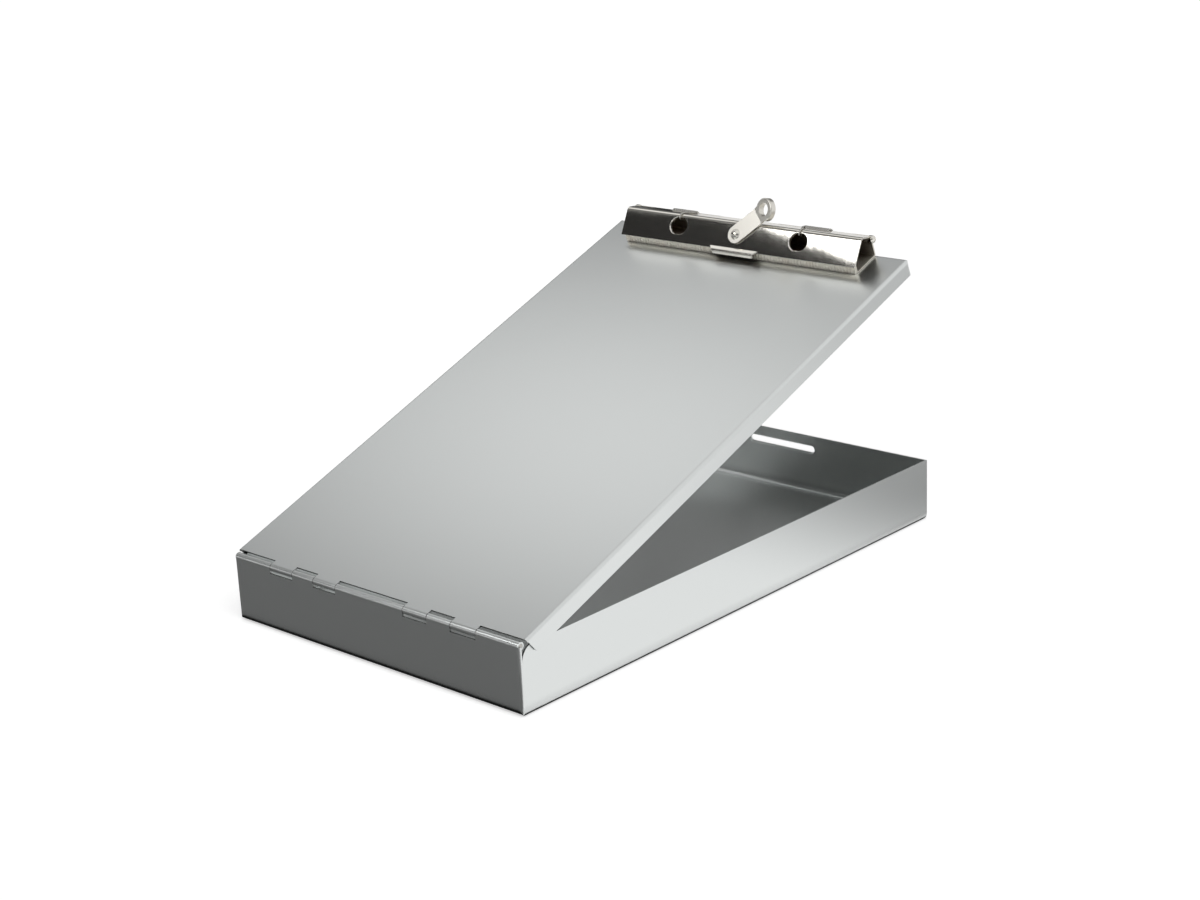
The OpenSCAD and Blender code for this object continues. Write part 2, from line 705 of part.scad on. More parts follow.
// Half section of the lever's head: top, turned-down edge and collar round the eye
module head_section() {
    foot = lever_t - head_depth;
    round_r = lever_t * 0.9;
    translate([eye_r, 0]) square([head_r - round_r - eye_r, lever_t]);
    translate([head_r - round_r, lever_t - round_r])
        intersection() {
            circle(round_r);
            square(round_r);
        }
    translate([head_r - lever_t, foot]) square([lever_t, head_depth - round_r]);
    translate([eye_r, foot]) square([lever_t, head_depth]);
}

module hang_lever() {
    color(nickel) lever_frame() translate([0, 0, lever_gap]) difference() {
        union() {
            linear_extrude(lever_t) {
                circle(d = lever_w);
                translate([0, -lever_w / 2]) square([lever_l, lever_w]);
            }
            translate([lever_l, 0, 0]) rotate([0, -head_tilt, 0]) {
                translate([0, -lever_w / 2, 0]) cube([head_reach, lever_w, lever_t]);
                translate([head_reach, 0, 0]) rotate_extrude() head_section();
            }
        }
        translate([0, 0, -1]) cylinder(d = lever_rivet_d + 2 * pin_clear, h = lever_t + 2);
        translate([lever_l, 0, 0]) rotate([0, -head_tilt, 0])
            translate([head_reach, 0, -head_depth]) cylinder(r = eye_r, h = 2 * head_depth);
    }
}

module lever_rivet() {
    head_d = 7;
    tail_d = 4.6;
    grip = washer_t + lever_t + 2 * lever_gap;
    color(nickel) plate_frame() translate([0, lever_s, 0]) {
        translate([0, 0, -jaw_t]) cylinder(d = lever_rivet_d, h = jaw_t + grip);
        translate([0, 0, grip]) dome(head_d / 2, 2.1);
        translate([0, 0, -jaw_t]) mirror([0, 0, 1]) dome(tail_d / 2, 0.9);
    }
}

module lever_washer() {
    color(steel) plate_frame() translate([0, lever_s, 0]) difference() {
        cylinder(d = lever_w - 2, h = washer_t);
        translate([0, 0, -1]) cylinder(d = lever_rivet_d + 2 * pin_clear, h = washer_t + 2);
    }
}

// Rivet through the clip's base and the lid, with its dome on the base
module clip_rivet(x) {
    color(steel) clip_frame() translate([x, rivet_y, 0]) {
        translate([0, 0, -sheet]) cylinder(d = rivet_d, h = sheet + base_t);
        translate([0, 0, base_t]) dome(rivet_d / 2 + head_over, 1.5);
        translate([0, 0, -sheet]) mirror([0, 0, 1]) dome(rivet_d / 2 + head_over, 1.3);
    }
}

tray();
lid();
hinge_pin();
clip_base();
clip_jaw();
clip_rod();
spring_left();
spring_right();
hang_lever();
lever_rivet();
lever_washer();
clip_rivet(-rivet_out);  // clip_rivet_1
clip_rivet(-rivet_in);  // clip_rivet_2
clip_rivet(rivet_in);  // clip_rivet_3
clip_rivet(rivet_out);  // clip_rivet_4
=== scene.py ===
"""Looks of a storage clipboard box: finishes, smooth springs and a plain studio round the parts."""

import json
import math

import bpy
from bpy.props import FloatProperty, FloatVectorProperty, IntProperty, PointerProperty
from mathutils import Matrix, Vector


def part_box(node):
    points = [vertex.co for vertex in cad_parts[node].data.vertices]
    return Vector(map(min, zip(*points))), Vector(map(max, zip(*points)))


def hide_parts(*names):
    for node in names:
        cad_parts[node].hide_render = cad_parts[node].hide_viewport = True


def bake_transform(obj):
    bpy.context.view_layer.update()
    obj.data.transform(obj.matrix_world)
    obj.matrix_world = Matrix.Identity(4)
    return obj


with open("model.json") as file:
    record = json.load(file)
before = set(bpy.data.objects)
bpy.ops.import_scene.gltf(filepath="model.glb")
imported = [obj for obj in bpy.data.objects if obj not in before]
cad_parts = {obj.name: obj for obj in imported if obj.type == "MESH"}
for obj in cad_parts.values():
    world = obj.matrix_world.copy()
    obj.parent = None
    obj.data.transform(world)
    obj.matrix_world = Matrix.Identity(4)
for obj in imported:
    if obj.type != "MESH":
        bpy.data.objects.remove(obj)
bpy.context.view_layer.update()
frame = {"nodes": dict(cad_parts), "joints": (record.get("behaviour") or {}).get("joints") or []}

bl_info = {
    "name": "Storage clipboard box",
    "version": (1, 0, 0),
    "blender": (4, 5, 0),
    "location": "3D View > Sidebar > Clipboard box",
    "description": "Finishes and studio for a folded aluminium storage clipboard",
    "category": "Object",
}

MM = 0.001


def linear(hex_colour):
    """Linear RGB from an sRGB hex value such as '#B4B6B4'."""
    channels = [int(hex_colour[i:i + 2], 16) / 255 for i in (1, 3, 5)]
    return tuple(c / 12.92 if c <= 0.04045 else ((c + 0.055) / 1.055) ** 2.4 for c in channels)


def joint(name):
    """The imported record's joint of that name."""
    return next(j for j in frame["joints"] if j["name"] == name)


ROD_CENTRE = Vector(joint("jaw_hinge")["pos_m"])
BAY_LOW, BAY_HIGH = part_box("spring_right")
# The lid's slope to the floor, and the slopes of the jaw's plate and roof to the lid
LID_ANGLE = math.radians(20.75)
PLATE_SLOPE = math.radians(45)
ROOF_SLOPE = math.radians(24.9)
UP_THE_PLATE = Vector((0, math.cos(LID_ANGLE + PLATE_SLOPE), math.sin(LID_ANGLE + PLATE_SLOPE)))
# Middle of the jaw's plate, along the lid and up from the rod, and half the plate's height
PLATE_MIDDLE = (-15.6 * MM, -0.3 * MM)
PLATE_HALF = 9.5 * MM


def clip_point(x, along, up):
    """Point in the shared frame from the clip's own: x across, along the lid, up from the rod."""
    turn = Matrix.Rotation(LID_ANGLE, 3, "X")
    return turn @ Vector((0, along, up)) + ROD_CENTRE + Vector((x, 0, 0))


class SheetSettings(bpy.types.PropertyGroup):
    """Finish of the folded aluminium sheets."""

    colour: FloatVectorProperty(
        name="Colour", description="Colour of the anodised sheet", subtype="COLOR", size=3,
        min=0, max=1, default=linear("#E4E7E6"),
    )
    roughness: FloatProperty(
        name="Roughness", description="Spread of the sheet's reflections", min=0, max=1,
        default=0.3,
    )
    edge_radius: FloatProperty(
        name="Edge radius", description="How far the sheared edges are rounded off", unit="LENGTH",
        min=0, max=0.001, default=0.12 * MM,
    )


class ClipSettings(bpy.types.PropertyGroup):
    """Finishes of the clip, its lever and its fixings."""

    nickel: FloatVectorProperty(
        name="Nickel", description="Colour of the bright nickel plating", subtype="COLOR", size=3,
        min=0, max=1, default=linear("#E8E5DD"),
    )
    zinc: FloatVectorProperty(
        name="Zinc", description="Colour of the yellow zinc plating", subtype="COLOR", size=3,
        min=0, max=1, default=linear("#EEEAE0"),
    )
    steel: FloatVectorProperty(
        name="Steel", description="Colour of plain steel", subtype="COLOR", size=3,
        min=0, max=1, default=linear("#BDBBB6"),
    )
    ripple: FloatProperty(
        name="Ripple", description="Size of the dents and waves left by pressing the jaw",
        unit="LENGTH", min=0.001, max=0.1, default=14 * MM,
    )
    crown: FloatProperty(
        name="Crown", description="How far the middle of the jaw's plate stands proud of its edges",
        unit="LENGTH", min=0, max=0.001, default=0.12 * MM,
    )


class SpringSettings(bpy.types.PropertyGroup):
    """The clip's torsion springs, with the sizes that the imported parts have."""

    wire: FloatProperty(
        name="Wire", description="Diameter of the wire", unit="LENGTH", min=0.0005, max=0.002,
        default=1.1 * MM,
    )
    curl_radius: FloatProperty(
        name="Curl radius", description="Mean radius of the curls", unit="LENGTH", min=0.002,
        max=0.004, default=2.85 * MM,
    )
    curls: IntProperty(
        name="Curls", description="Full curls of each spring", min=4, max=16, default=11,
    )


class StageSettings(bpy.types.PropertyGroup):
    """Floor, lamp and even light."""

    floor: FloatVectorProperty(
        name="Floor", description="Colour of the floor", subtype="COLOR", size=3, min=0, max=1,
        default=linear("#F2F2F2"),
    )
    floor_size: FloatProperty(
        name="Floor size", description="Width of the floor", unit="LENGTH", min=2, max=100,
        default=40,
    )
    ambient: FloatProperty(
        name="Ambient", description="Strength of the even light", min=0, max=2, default=0.5,
    )
    lamp: FloatProperty(
        name="Lamp", description="Strength of the broad lamp that casts the shadow", min=0, max=10,
        default=0.8,
    )


def add_node(tree, kind, inputs=None, **settings):
    """Adds a shader node with its settings. An input is a value, or the output to link to it."""
    node = tree.nodes.new(kind)
    for name, value in settings.items():
        setattr(node, name, value)
    for name, value in (inputs or {}).items():
        if isinstance(value, bpy.types.NodeSocket):
            tree.links.new(value, node.inputs[name])
        else:
            node.inputs[name].default_value = value
    return node


def new_material(name):
    """An empty node material and its tree."""
    material = bpy.data.materials.new(name)
    material.use_nodes = True
    material.node_tree.nodes.clear()
    return material, material.node_tree


def finish_surface(tree, shader):
    """Links a shader to the material's surface."""
    add_node(tree, "ShaderNodeOutputMaterial", {"Surface": shader.outputs[0]})


def opaque(colour):
    """Colour with full alpha, as a node's colour input takes it."""
    return (*colour, 1)


def painted_shade_in_recesses(tree, colour, shade_colour, reach, closed, free):
    """Painted shade: a colour that turns to a dark shade colour where faces closer than a reach
    shut out the light.

    It is all shade colour at the closed share of open sky, and all plain at the free one.
    """
    opening = add_node(tree, "ShaderNodeAmbientOcclusion", {"Distance": reach}, samples=8)
    share = add_node(
        tree, "ShaderNodeMapRange",
        {"Value": opening.outputs["AO"], "From Min": closed, "From Max": free},
    )
    # Inputs 6 and 7 and output 2 are the mix node's colours
    mix = add_node(
        tree, "ShaderNodeMix", {0: share.outputs[0], 6: opaque(linear(shade_colour)), 7: colour},
        data_type="RGBA",
    )
    return mix.outputs[2]


def satin_anodised_aluminium(settings):
    """Rolled aluminium sheet, etched and clear anodised.

    It gives soft, wide reflections with no visible brush lines, slightly waved by the rolling, and
    a thin clear oxide skin that mirrors only the brightest things next to it.
    """
    material, tree = new_material("satin anodised aluminium")
    place = add_node(tree, "ShaderNodeTexCoord")
    edge = add_node(tree, "ShaderNodeBevel", {"Radius": settings.edge_radius}, samples=4)
    # Rolling waves about 60 mm apart
    waves = add_node(
        tree, "ShaderNodeTexNoise",
        {"Vector": place.outputs["Object"], "Scale": 1 / (60 * MM), "Detail": 1},
    )
    waved = add_node(
        tree, "ShaderNodeBump",
        {"Height": waves.outputs[0], "Strength": 0.2, "Distance": 0.4 * MM,
         "Normal": edge.outputs[0]},
    )
    # Etched grain of about 0.05 mm, drawn at 0.4 mm so that it shows
    grain = add_node(
        tree, "ShaderNodeTexNoise",
        {"Vector": place.outputs["Object"], "Scale": 1 / (0.4 * MM), "Detail": 1},
    )
    grained = add_node(
        tree, "ShaderNodeBump",
        {"Height": grain.outputs[0], "Strength": 0.12, "Distance": 0.02 * MM,
         "Normal": waved.outputs[0]},
    )
    # Painted shade: seams round the rolled knuckles, and faces close to other parts, drawn dark
    # where the light is shut out
    colour = painted_shade_in_recesses(tree, opaque(settings.colour), "#1E1F1F", 15 * MM, 0.4, 0.62)
    surface = add_node(
        tree, "ShaderNodeBsdfPrincipled",
        {"Base Color": colour, "Metallic": 1, "Roughness": settings.roughness,
         "Coat Weight": 0.05, "Coat Roughness": 0.12, "Normal": grained.outputs[0]},
    )
    finish_surface(tree, surface)
    return material


def nickel_plate(settings, name, roughness, ripple_depth, crown=0):
    """Pressed steel with nickel plating, which mirrors like chrome but a little warmer.

    The pressing leaves shallow waves that break up the reflections, and a crown over the height of
    the jaw's plate, which spreads a band of the room over it.
    """
    material, tree = new_material(name)
    place = add_node(tree, "ShaderNodeTexCoord")
    normal = add_node(tree, "ShaderNodeBevel", {"Radius": 0.3 * MM}, samples=4)
    if crown:
        along = add_node(
            tree, "ShaderNodeVectorMath", {0: place.outputs["Object"], 1: UP_THE_PLATE},
            operation="DOT_PRODUCT",
        )
        middle = clip_point(0, *PLATE_MIDDLE).dot(UP_THE_PLATE)
        from_middle = add_node(
            tree, "ShaderNodeMath", {0: along.outputs["Value"], 1: middle}, operation="SUBTRACT",
        )
        square = add_node(
            tree, "ShaderNodeMath", {0: from_middle.outputs[0], 1: 2}, operation="POWER",
        )
        sunk = add_node(
            tree, "ShaderNodeMath", {0: square.outputs[0], 1: -crown / PLATE_HALF ** 2},
            operation="MULTIPLY",
        )
        normal = add_node(
            tree, "ShaderNodeBump",
            {"Height": sunk.outputs[0], "Strength": 1, "Distance": 1, "Normal": normal.outputs[0]},
        )
    waves = add_node(
        tree, "ShaderNodeTexNoise",
        {"Vector": place.outputs["Object"], "Scale": 1 / settings.ripple, "Detail": 2,
         "Roughness": 0.5},
    )
    waved = add_node(
        tree, "ShaderNodeBump",
        {"Height": waves.outputs[0], "Strength": 1, "Distance": ripple_depth,
         "Normal": normal.outputs[0]},
    )
    surface = add_node(
        tree, "ShaderNodeBsdfPrincipled",
        {"Base Color": opaque(settings.nickel), "Metallic": 1, "Roughness": roughness,
         "Normal": waved.outputs[0]},
    )
    finish_surface(tree, surface)
    return material


def yellow_zinc(settings):
    """Steel with yellow chromated zinc plating.

    It is a dull straw-coloured metal whose tint drifts towards green and rose in soft clouds.
    """
    material, tree = new_material("yellow zinc plated steel")
    place = add_node(tree, "ShaderNodeTexCoord")
    edge = add_node(tree, "ShaderNodeBevel", {"Radius": 0.05 * MM}, samples=4)
    # Clouds of tint about 12 mm across
    clouds = add_node(
        tree, "ShaderNodeTexNoise",
        {"Vector": place.outputs["Object"], "Scale": 1 / (12 * MM), "Detail": 2},
    )
    tint = add_node(tree, "ShaderNodeValToRGB", {"Fac": clouds.outputs[0]})
    tint.color_ramp.elements[0].position = 0.3
    tint.color_ramp.elements[0].color = opaque(linear("#EAE7DA"))
    tint.color_ramp.elements[1].position = 0.7
    tint.color_ramp.elements[1].color = opaque(linear("#EFE8DC"))
    middle = tint.color_ramp.elements.new(0.5)
    middle.color = opaque(settings.zinc)
    # Painted shade, dark brown, inside the clip where the jaw shuts out the light
    colour = painted_shade_in_recesses(tree, tint.outputs[0], "#4E3408", 30 * MM, 0.08, 0.34)
    surface = add_node(
        tree, "ShaderNodeBsdfPrincipled",
        {"Base Color": colour, "Metallic": 1, "Roughness": 0.52, "Normal": edge.outputs[0]},
    )
    finish_surface(tree, surface)
    return material


def drawn_steel(settings, name, roughness):
    """Drawn or cold-headed steel: an even grey metal with short, soft highlights."""
    material, tree = new_material(name)
    edge = add_node(tree, "ShaderNodeBevel", {"Radius": 0.15 * MM}, samples=4)
    surface = add_node(
        tree, "ShaderNodeBsdfPrincipled",
        {"Base Color": opaque(settings.steel), "Metallic": 1, "Roughness": roughness,
         "Normal": edge.outputs[0]},
    )
    finish_surface(tree, surface)
    return material


def dress(nodes, material):
    """Gives CAD nodes one material."""
    for name in nodes:
        piece = frame["nodes"][name]
        piece.data.materials.clear()
        piece.data.materials.append(material)


class CLIPBOX_OT_dress_sheets(bpy.types.Operator):
    """Finish the tray and the lid as satin anodised aluminium"""

    bl_idname = "clipbox.dress_sheets"
    bl_label = "Tray and lid"

    def execute(self, context):
        material = satin_anodised_aluminium(context.scene.clipbox_sheets)
        dress(["tray", "lid"], material)
        return {"FINISHED"}


class CLIPBOX_OT_dress_clip(bpy.types.Operator):
    """Finish the clip's base, jaw and rod"""

    bl_idname = "clipbox.dress_clip"
    bl_label = "Clip"

    def execute(self, context):
        settings = context.scene.clipbox_clip
        dress(["clip_base"], yellow_zinc(settings))
        jaw = nickel_plate(settings, "bright nickel jaw", 0.07, 0.05 * MM, settings.crown)
        dress(["clip_jaw"], jaw)
        dress(["clip_rod"], nickel_plate(settings, "bright nickel rod", 0.13, 0.02 * MM))
        return {"FINISHED"}


class CLIPBOX_OT_dress_lever(bpy.types.Operator):
    """Finish the hanging lever with its rivet and washer"""

    bl_idname = "clipbox.dress_lever"
    bl_label = "Hanging lever"

    def execute(self, context):
        settings = context.scene.clipbox_clip
        dress(["hang_lever"], nickel_plate(settings, "satin nickel lever", 0.32, 0.03 * MM))
        dress(["lever_rivet"], nickel_plate(settings, "bright nickel rivet", 0.12, 0.02 * MM))
        dress(["lever_washer"], drawn_steel(settings, "plain steel washer", 0.3))
        return {"FINISHED"}


class CLIPBOX_OT_dress_fixings(bpy.types.Operator):
    """Finish the hinge pin and the clip's rivets"""

    bl_idname = "clipbox.dress_fixings"
    bl_label = "Pin and rivets"

    def execute(self, context):
        steel = drawn_steel(context.scene.clipbox_clip, "drawn steel", 0.3)
        rivets = [name for name in frame["nodes"] if name.startswith("clip_rivet")]
        dress(["hinge_pin", *sorted(rivets)], steel)
        return {"FINISHED"}


def spring_route(settings):
    """Points of the right-hand spring: hook, arm over the jaw's roof, curls and back arm."""
    arm_run = 8.7 * MM
    arm_straight = 3.48 * MM
    hook_x = 49.2 * MM
    bend_radius = 3.7 * MM
    hook_radius = 0.95 * MM
    hook_drop = 1.8 * MM
    # The straight between the bend and the hook, which ends at the rim of the oval hole
    rim_run = 0.3 * MM
    back_arm = 9.5 * MM
    # Points in each turn of the curls and along the other runs, and degrees from point to point of
    # the hook
    curl_steps = 24
    roof_steps = 10
    bend_steps = 10
    back_steps = 4
    hook_step = 15
    r = settings.curl_radius
    first = math.pi / 2 - ROOF_SLOPE
    turn = first + 2 * math.pi * settings.curls
    clear = settings.wire / 2
    x0 = BAY_LOW.x + clear
    x1 = BAY_HIGH.x - clear
    count = round(turn / (2 * math.pi) * curl_steps)

    def curl(k):
        share = k / count
        angle = first - turn * share
        return (x0 + (x1 - x0) * share, r * math.cos(angle), r * math.sin(angle))

    def over_roof(t):
        share = max(0, (t - arm_straight) / (arm_run - arm_straight))
        start = curl(0)
        return (
            start[0] + (hook_x - start[0]) * share,
            start[1] - t * math.cos(ROOF_SLOPE),
            start[2] + t * math.sin(ROOF_SLOPE),
        )

    bend_from = over_roof(arm_run)
    centre = (bend_from[1] - bend_radius * math.sin(ROOF_SLOPE),
              bend_from[2] - bend_radius * math.cos(ROOF_SLOPE))
    bend_to = math.pi / 2 + PLATE_SLOPE
    bend = [
        (hook_x, centre[0] + bend_radius * math.cos(a), centre[1] + bend_radius * math.sin(a))
        for a in (first + (bend_to - first) * k / bend_steps for k in range(bend_steps + 1))
    ]
    down = (-math.cos(PLATE_SLOPE), -math.sin(PLATE_SLOPE))
    inward = (math.sin(PLATE_SLOPE), -math.cos(PLATE_SLOPE))
    hook = []
    for degrees in range(0, 90 + hook_step, hook_step):
        a = math.radians(degrees)
        s = rim_run + hook_radius * math.sin(a)
        h = hook_radius * (1 - math.cos(a))
        hook.append((hook_x, bend[-1][1] + down[0] * s + inward[0] * h,
                     bend[-1][2] + down[1] * s + inward[1] * h))
    tip = (hook_x, hook[-1][1] + inward[0] * hook_drop, hook[-1][2] + inward[1] * hook_drop)
    last = curl(count)
    route = [tip, *reversed(hook), *reversed(bend)]
    route += [over_roof(arm_run * (1 - k / roof_steps)) for k in range(1, roof_steps)]
    route += [curl(k) for k in range(count + 1)]
    route += [
        (last[0], last[1], last[2] - back_arm * k / back_steps) for k in range(1, back_steps + 1)
    ]
    return [clip_point(*p) for p in route]


def round_wire(context, node, points, thickness):
    """Mesh of a smooth round wire along points, for one of the spring nodes."""
    curve = bpy.data.curves.new(node + "_wire", "CURVE")
    curve.dimensions = "3D"
    curve.bevel_depth = thickness / 2
    curve.bevel_resolution = 3
    curve.use_fill_caps = True
    line = curve.splines.new("POLY")
    line.points.add(len(points) - 1)
    for point, place in zip(line.points, points):
        point.co = (*place, 1)
    line.use_smooth = True
    wound = bpy.data.objects.new(node + "_route", curve)
    context.scene.collection.objects.link(wound)
    context.view_layer.update()
    solid = wound.evaluated_get(context.evaluated_depsgraph_get())
    mesh = bpy.data.meshes.new_from_object(solid)
    bpy.data.objects.remove(wound)
    return mesh


class CLIPBOX_OT_wind_springs(bpy.types.Operator):
    """Wind the two torsion springs from round wire"""

    bl_idname = "clipbox.wind_springs"
    bl_label = "Springs"

    def execute(self, context):
        settings = context.scene.clipbox_springs
        # Nickel-plated spring wire, drawn smooth and slightly worn
        wire = drawn_steel(context.scene.clipbox_clip, "plated spring wire", 0.18)
        route = spring_route(settings)
        for node, side in (("spring_right", 1), ("spring_left", -1)):
            points = [(side * place.x, place.y, place.z) for place in route]
            mesh = round_wire(context, node, points, settings.wire)
            mesh.materials.clear()
            mesh.materials.append(wire)
            piece = bpy.data.objects.new(node + "_wire", mesh)
            context.scene.collection.objects.link(piece)
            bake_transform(piece)
            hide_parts(node)
        return {"FINISHED"}


def white_where_seen(tree, strength_elsewhere):
    """Strength of 1 for camera, mirror and see-through rays, and the given one for the rest."""
    path = add_node(tree, "ShaderNodeLightPath")
    seen = add_node(
        tree, "ShaderNodeMath",
        {0: path.outputs["Is Camera Ray"], 1: path.outputs["Is Glossy Ray"]},
        operation="MAXIMUM",
    )
    seen = add_node(
        tree, "ShaderNodeMath",
        {0: seen.outputs[0], 1: path.outputs["Is Transmission Ray"]}, operation="MAXIMUM",
    )
    return add_node(
        tree, "ShaderNodeMapRange",
        {"Value": seen.outputs[0], "To Min": strength_elsewhere, "To Max": 1.0},
    )


def facing(direction):
    """Turn whose z axis points along a direction and whose x axis is level."""
    z = Vector(direction).normalized()
    x = Vector((-z.y, z.x, 0)).normalized() if z.xy.length > 0 else Vector((1, 0, 0))
    return Matrix((x, z.cross(x), z)).transposed().to_euler()


def heading(azimuth):
    """Level direction at an azimuth in degrees, from the x axis towards the y axis."""
    turn = math.radians(azimuth)
    return Vector((math.cos(turn), math.sin(turn), 0))


def flat_card(name, place, target, corners):
    """A flat card at a place, facing a target. Its corners lie in its own plane: x level, y up."""
    mesh = bpy.data.meshes.new(name)
    mesh.from_pydata([(x, y, 0) for x, y in corners], [], [tuple(range(len(corners)))])
    mesh.update()
    card = bpy.data.objects.new(name, mesh)
    bpy.context.scene.collection.objects.link(card)
    card.location = place
    card.rotation_euler = facing(Vector(target) - Vector(place))
    return card


def rectangle(left, low, right, high):
    """Corners of a rectangle in a card's plane."""
    return [(left, low), (right, low), (right, high), (left, high)]


def reflected_card(name, place, target, corners, inner, outer=None, start=0, end=1, axis=None):
    """A studio card that only reflections show.

    Its brightness goes smoothly from inner to outer between two distances, measured from its place,
    or along one axis of its plane.
    """
    card = flat_card(name, place, target, corners)
    card.visible_camera = False
    card.visible_diffuse = False
    card.visible_transmission = False
    card.visible_shadow = False
    material, tree = new_material(name)
    glow = add_node(tree, "ShaderNodeEmission", {"Strength": inner})
    if outer is not None:
        own = add_node(tree, "ShaderNodeTexCoord")
        if axis:
            parts = add_node(tree, "ShaderNodeSeparateXYZ", {"Vector": own.outputs["Object"]})
            distance = parts.outputs[axis]
        else:
            distance = add_node(
                tree, "ShaderNodeVectorMath", {0: own.outputs["Object"]}, operation="LENGTH",
            ).outputs["Value"]
        fade = add_node(
            tree, "ShaderNodeMapRange",
            {"Value": distance, "From Min": start, "From Max": end, "To Min": inner,
             "To Max": outer},
            interpolation_type="SMOOTHSTEP",
        )
        tree.links.new(fade.outputs[0], glow.inputs["Strength"])
    finish_surface(tree, glow)
    card.data.materials.append(material)
    return card


def table_card(name, place, corners, *tones):
    """A reflected card that lies face up, a little over the floor."""
    return reflected_card(name, place, (place[0], place[1], 1), corners, *tones)


def broad_lamp(name, direction, angle, strength):
    """A lamp like a wide, far window, which mirrors don't show."""
    lamp = bpy.data.lights.new(name, "SUN")
    lamp.energy = strength
    lamp.angle = angle
    holder = bpy.data.objects.new(name, lamp)
    holder.rotation_euler = facing(direction)
    holder.visible_glossy = False
    bpy.context.scene.collection.objects.link(holder)


def photo_camera():
    """The camera that took the photograph, solved from the box's straight edges."""
    azimuth, elevation, roll = (math.radians(a) for a in (42.773, 17.82, -2.714))
    focal_px = 2174.8
    image_width_px = 1200
    back = Vector((math.sin(azimuth) * math.cos(elevation),
                   -math.cos(azimuth) * math.cos(elevation), math.sin(elevation)))
    level = Vector((math.cos(azimuth), math.sin(azimuth), 0))
    upright = back.cross(level)
    right = math.cos(roll) * level + math.sin(roll) * upright
    up = math.cos(roll) * upright - math.sin(roll) * level
    data = bpy.data.cameras.new("photo camera")
    data.sensor_width = 36
    data.lens = data.sensor_width * focal_px / image_width_px
    data.clip_start = 0.01
    camera = bpy.data.objects.new("photo camera", data)
    turn = Matrix((right, up, back)).transposed().to_4x4()
    camera.matrix_world = Matrix.Translation(Vector((869.23, -932.94, 486.53)) * MM) @ turn
    bpy.context.scene.collection.objects.link(camera)
    bpy.context.scene.camera = camera


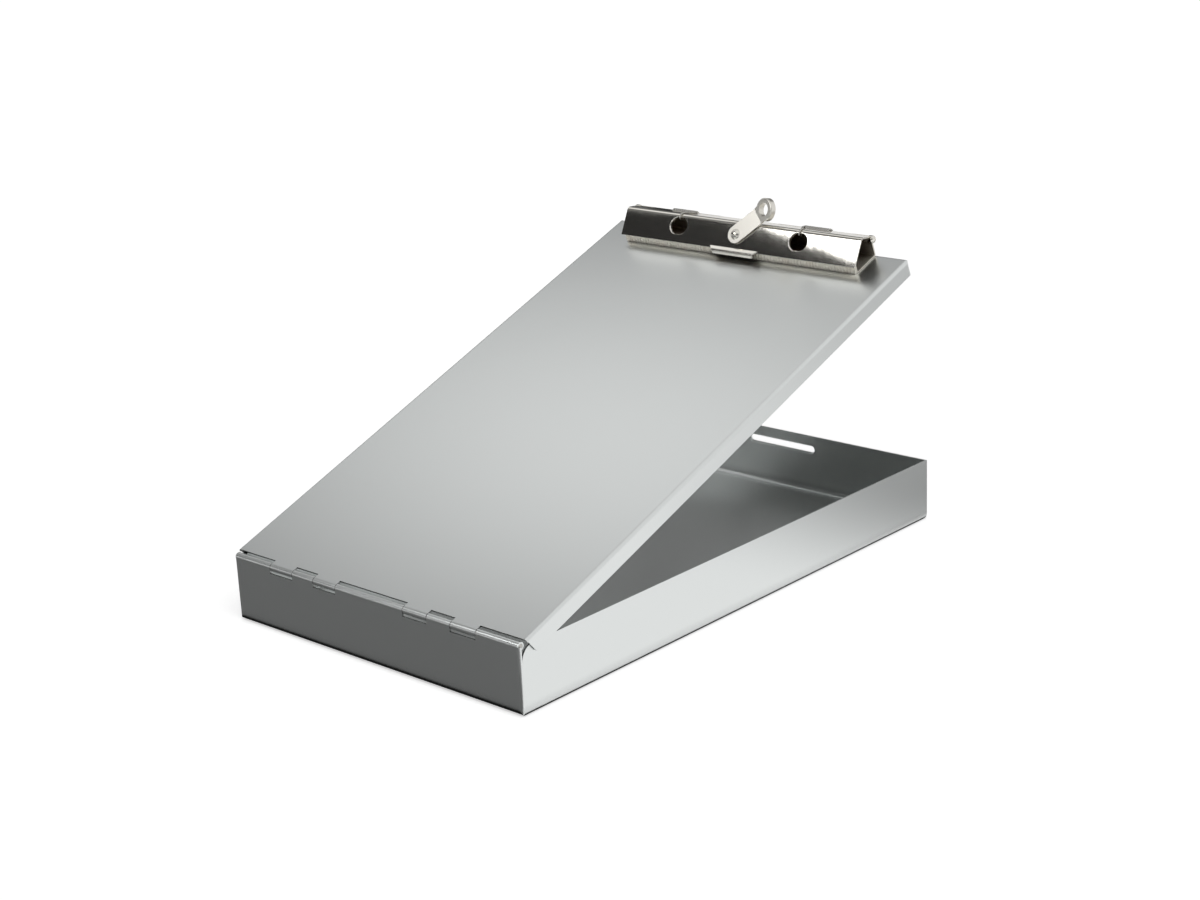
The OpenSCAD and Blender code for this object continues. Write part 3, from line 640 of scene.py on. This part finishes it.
class CLIPBOX_OT_set_stage(bpy.types.Operator):
    """Set the floor, the lamp, the studio's cards and the camera"""

    bl_idname = "clipbox.set_stage"
    bl_label = "Stage"

    def execute(self, context):
        settings = context.scene.clipbox_stage
        scene = context.scene
        scene.view_settings.view_transform = "Standard"
        half = settings.floor_size / 2
        floor = flat_card("floor", (0, 0, 0), (0, 0, 1), rectangle(-half, -half, half, half))
        material, tree = new_material("white paper floor")
        paper = add_node(tree, "ShaderNodeBsdfDiffuse", {"Color": opaque(settings.floor)})
        seen = white_where_seen(tree, 0.0)
        # The paper also glows at half strength where it is seen, which keeps its shadows pale
        lift = add_node(
            tree, "ShaderNodeMath", {0: seen.outputs[0], 1: 0.5}, operation="MULTIPLY",
        )
        glow = add_node(tree, "ShaderNodeEmission", {"Strength": lift.outputs[0]})
        both = add_node(tree, "ShaderNodeAddShader", {0: paper.outputs[0], 1: glow.outputs[0]})
        finish_surface(tree, both)
        floor.data.materials.append(material)

        world = bpy.data.worlds.new("studio")
        scene.world = world
        world.use_nodes = True
        world.node_tree.nodes.clear()
        strength = white_where_seen(world.node_tree, settings.ambient)
        sky = add_node(world.node_tree, "ShaderNodeBackground", {"Strength": strength.outputs[0]})
        add_node(world.node_tree, "ShaderNodeOutputWorld", {"Surface": sky.outputs[0]})

        broad_lamp("broad lamp", (0.6, -0.3, 1), math.radians(35), settings.lamp)
        self.add_cards()
        photo_camera()
        return {"FINISHED"}

    def add_cards(self):
        """The dark and pale things round the object that its metal mirrors."""
        clip = Vector((0, 0.146, 0.182))
        # Bright ceiling over the lid, a long oval that fades to dark
        ceiling = reflected_card(
            "bright ceiling", (-0.5217, 0.275, 0.784), (0.1383, -0.053, 0.108),
            [(-0.8, -0.32), (0.84, -0.32), (0.84, 0.44), (0.42, 0.44), (-0.46, 0.05), (-0.8, -0.1)],
            1.073, 0.179, 0, 0.327,
        )
        ceiling.rotation_euler.rotate_axis("Z", -0.842)
        ceiling.scale.y = 2.51
        # Dark side of the room that the clip mirrors, with a slanting top, and a soft box over it
        ahead = heading(-131.5)
        reflected_card(
            "dark wall", clip + 1.4 * ahead, clip,
            [(-2.0, 0.06), (1.8, 0.06), (1.8, 1.3), (0.35, 1.3), (0.097, 0.765), (0.006, 0.75),
             (-0.05, 0.715), (-0.153, 0.67), (-2.0, 0.3)], 0.02,
        )
        reflected_card(
            "soft box", clip + 1.7 * ahead, clip, rectangle(-1.6, 0.3, 0.07, 1.55), 3.4,
        )
        # Dark wall further left, which the jaw's top bend mirrors
        left = heading(-152)
        reflected_card(
            "dark side wall", clip + 1.6 * left, clip, rectangle(-0.3, 0.4, 0.3, 2.6), 0.06,
        )
        # Dark room behind the camera
        front = heading(-47)
        reflected_card(
            "room behind the camera", clip + 1.7 * front, clip,
            rectangle(-0.9, -0.18, 0.9, 1.1), 0.2,
        )
        # Dark low corner behind the object, and the grey wall next to it
        behind = heading(130)
        reflected_card(
            "dark corner", clip + 1.5 * behind, clip, rectangle(-1.3, -0.18, 0, 0.45), 0.03,
        )
        reflected_card(
            "grey backdrop", clip + 1.51 * behind, clip, rectangle(-0.2, 0.24, 0.5, 0.62), 0.3,
        )
        # Dark table behind, which the lever's head mirrors
        table_card("dark table behind", (-0.62, 0.96, 0.0006), rectangle(-0.4, -0.4, 0.4, 0.4), 0.1)
        # Dark table before and beside the hinge wall, and a dark sheet under the box as painted
        # shade, which the bottom bends mirror
        table_card("dark table", (-0.4, -0.191, 0.0006), rectangle(-1.4, -1.6, 0.62, 0), 0.12)
        table_card(
            "dark table on the left", (-0.118, -0.191, 0.0006), rectangle(-1.6, 0, 0, 1.5), 0.05,
        )
        table_card(
            "painted shade under the box", (0, 0, 0.0007), rectangle(-0.1205, -0.1945, 0.1185, 0.1935), 0.03,
        )
        # Table beside the right-hand wall, darker towards the back
        table_card(
            "table beside the wall", (0.1, 0, 0.0005), rectangle(0.021, -0.5, 0.17, 0.6),
            0.93, 0.34, 0.03, 0.25, "Y",
        )
        table_card(
            "pale table", (0.1, 0, 0.0004), rectangle(0.17, -0.5, 1.5, 1.5),
            0.98, 0.5, 0.15, 0.75, "Y",
        )


class CLIPBOX_PT_panel(bpy.types.Panel):
    """Lists the settings and the steps that dress the box"""

    bl_idname = "CLIPBOX_PT_panel"
    bl_label = "Clipboard box"
    bl_space_type = "VIEW_3D"
    bl_region_type = "UI"
    bl_category = "Clipboard box"

    def draw(self, context):
        scene = context.scene
        for settings in (scene.clipbox_sheets, scene.clipbox_clip, scene.clipbox_springs,
                         scene.clipbox_stage):
            box = self.layout.box()
            for name in settings.__annotations__:
                box.prop(settings, name)
        for operator in OPERATORS:
            self.layout.operator(operator.bl_idname)


SETTINGS = {
    "clipbox_sheets": SheetSettings,
    "clipbox_clip": ClipSettings,
    "clipbox_springs": SpringSettings,
    "clipbox_stage": StageSettings,
}
OPERATORS = [
    CLIPBOX_OT_dress_sheets,
    CLIPBOX_OT_dress_clip,
    CLIPBOX_OT_dress_lever,
    CLIPBOX_OT_dress_fixings,
    CLIPBOX_OT_wind_springs,
    CLIPBOX_OT_set_stage,
]


def register():
    for name, group in SETTINGS.items():
        bpy.utils.register_class(group)
        setattr(bpy.types.Scene, name, PointerProperty(type=group))
    for operator in OPERATORS:
        bpy.utils.register_class(operator)
    bpy.utils.register_class(CLIPBOX_PT_panel)


def unregister():
    bpy.utils.unregister_class(CLIPBOX_PT_panel)
    for operator in reversed(OPERATORS):
        bpy.utils.unregister_class(operator)
    for name, group in reversed(SETTINGS.items()):
        delattr(bpy.types.Scene, name)
        bpy.utils.unregister_class(group)


def main():
    register()
    bpy.ops.clipbox.dress_sheets()
    bpy.ops.clipbox.dress_clip()
    bpy.ops.clipbox.dress_lever()
    bpy.ops.clipbox.dress_fixings()
    bpy.ops.clipbox.wind_springs()
    bpy.ops.clipbox.set_stage()


if __name__ == "__main__":
    main()
